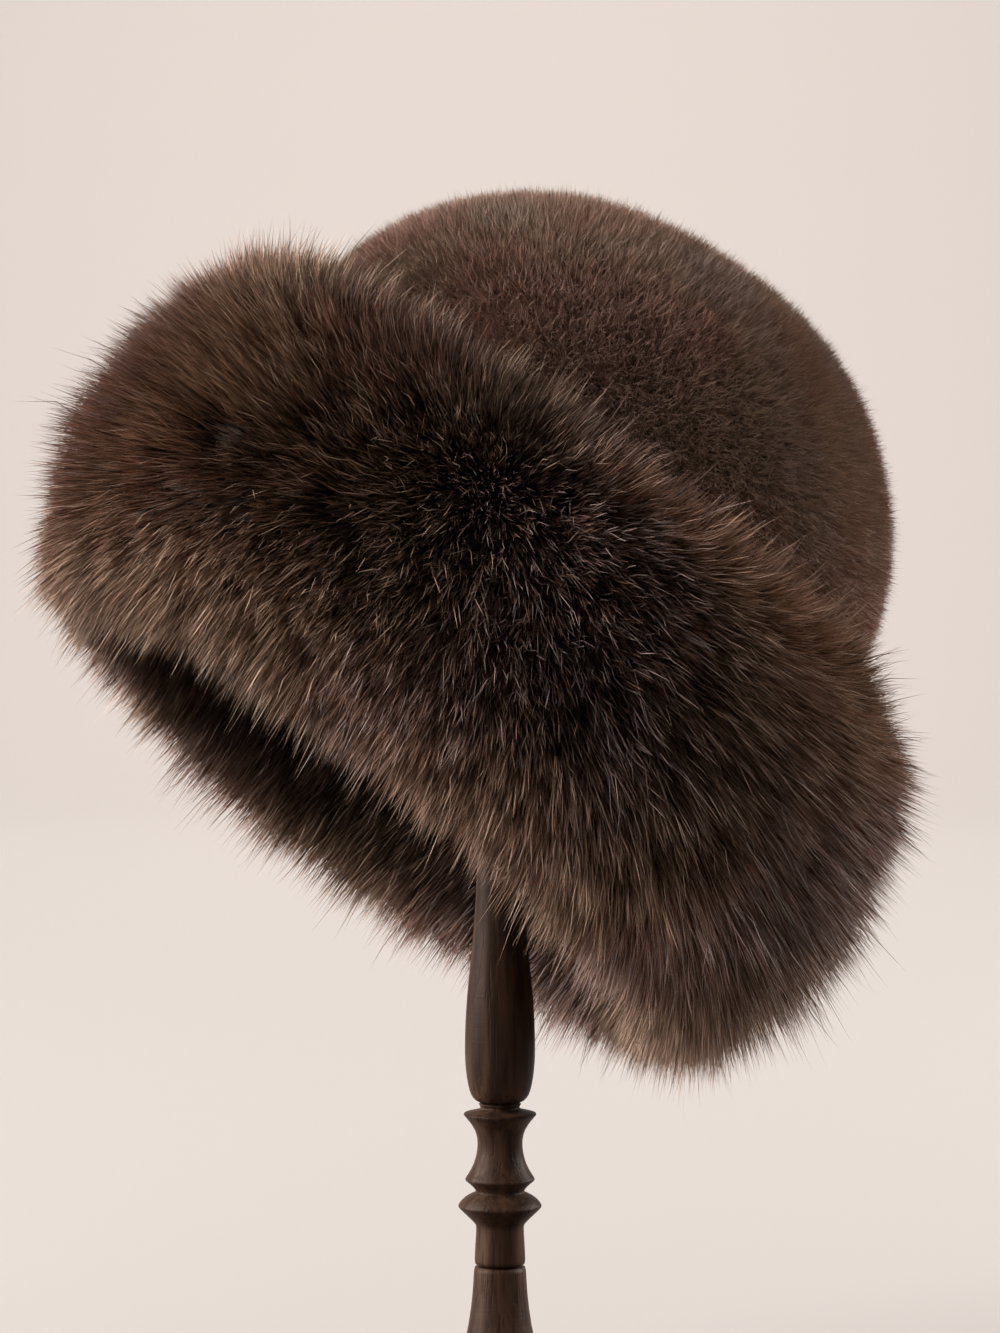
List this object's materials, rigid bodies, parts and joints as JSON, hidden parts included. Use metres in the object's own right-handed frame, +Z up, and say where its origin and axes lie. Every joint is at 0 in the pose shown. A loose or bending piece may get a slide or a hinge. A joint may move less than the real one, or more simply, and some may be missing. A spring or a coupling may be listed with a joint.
{
  "type": "fur hat on a turned hat stand",
  "caption": "Round hat of short brown fur with a deep brim of long fur, resting aslant on a slender turned wooden stand with a round foot.",
  "frame": {"origin": "middle of the foot's flat underside", "axes": "+Z up along the stand's post, +X to the viewer's right, +Y away from the viewer; the hat leans to the right and back"},
  "size_m": [0.2795, 0.2864, 0.3991],
  "materials": {
    "crown_fur": "short dense pile, matt",
    "brim_fur": "long soft hair, dark at the root, brown at the tip",
    "hide": "matt",
    "wood": "dark stained, semi-gloss"
  },
  "bodies": {
    "root": {"crown": "crown_fur", "brim_band": "hide", "brim_fur": "brim_fur", "stand_head": "wood", "stand_upper_spindle": "wood", "stand_lower_spindle": "wood", "stand_foot": "wood"}
  },
  "joints": []
}
